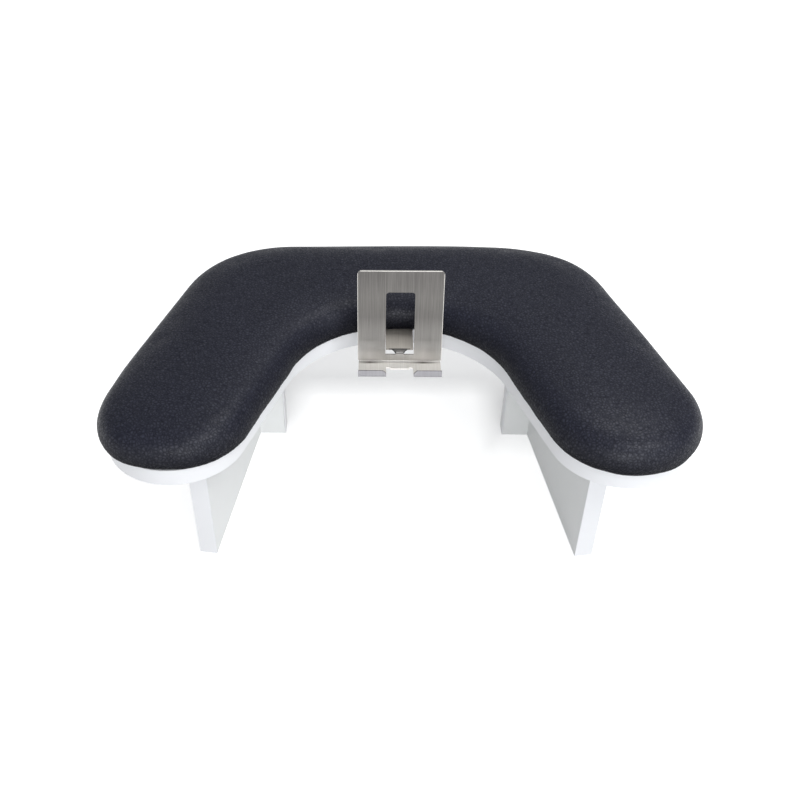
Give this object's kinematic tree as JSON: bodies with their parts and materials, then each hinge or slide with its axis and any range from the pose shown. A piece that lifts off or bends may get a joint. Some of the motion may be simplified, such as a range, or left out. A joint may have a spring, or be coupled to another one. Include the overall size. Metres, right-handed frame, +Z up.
{
  "type": "tattoo arm rest stand",
  "caption": "Low U-shaped padded arm rest on a white board with splayed side legs, and a bent sheet-steel phone holder that slides in under the pad at the arch.",
  "frame": {"origin": "middle of the outline seen from above, on the surface it stands on", "axes": "+X to the sitter's right along the overall width, +Y to the back where the arms join, -Y to the open side, +Z up"},
  "size_m": [0.5038, 0.3198, 0.2052],
  "materials": {
    "white_board": "wood board with a smooth white laminate face",
    "white_edge": "satin white plastic edge band",
    "zinc_screw": "bright zinc plated steel",
    "beech": "plain beech",
    "plywood": "plain birch plywood",
    "foam": "pale upholstery foam",
    "black_leather": "soft grained black leather, slight sheen",
    "brushed_steel": "vertically brushed stainless sheet"
  },
  "bodies": {
    "stand": {"top_board": "white_board", "board_edge_band": "white_edge", "left_side_leg": "white_board", "right_side_leg": "white_board", "left_brace": "white_board", "right_brace": "white_board", "left_leg_edge_bands": "white_edge", "right_leg_edge_bands": "white_edge", "left_leg_screws": "zinc_screw", "right_leg_screws": "zinc_screw", "left_brace_screw": "zinc_screw", "right_brace_screw": "zinc_screw", "left_leg_dowels": "beech", "right_leg_dowels": "beech", "left_brace_dowels": "beech", "right_brace_dowels": "beech", "pad_base": "plywood", "foam_core": "foam", "leather_cover": "black_leather", "cover_staples": "zinc_screw", "pad_screws": "zinc_screw"},
    "removable_holder": {"phone_holder": "brushed_steel"}
  },
  "joints": [
    {"name": "holder_slide", "type": "slide", "parent": "stand", "child": "removable_holder", "axis": [0, -1, 0], "range_m": [0, 0.042]}
  ]
}
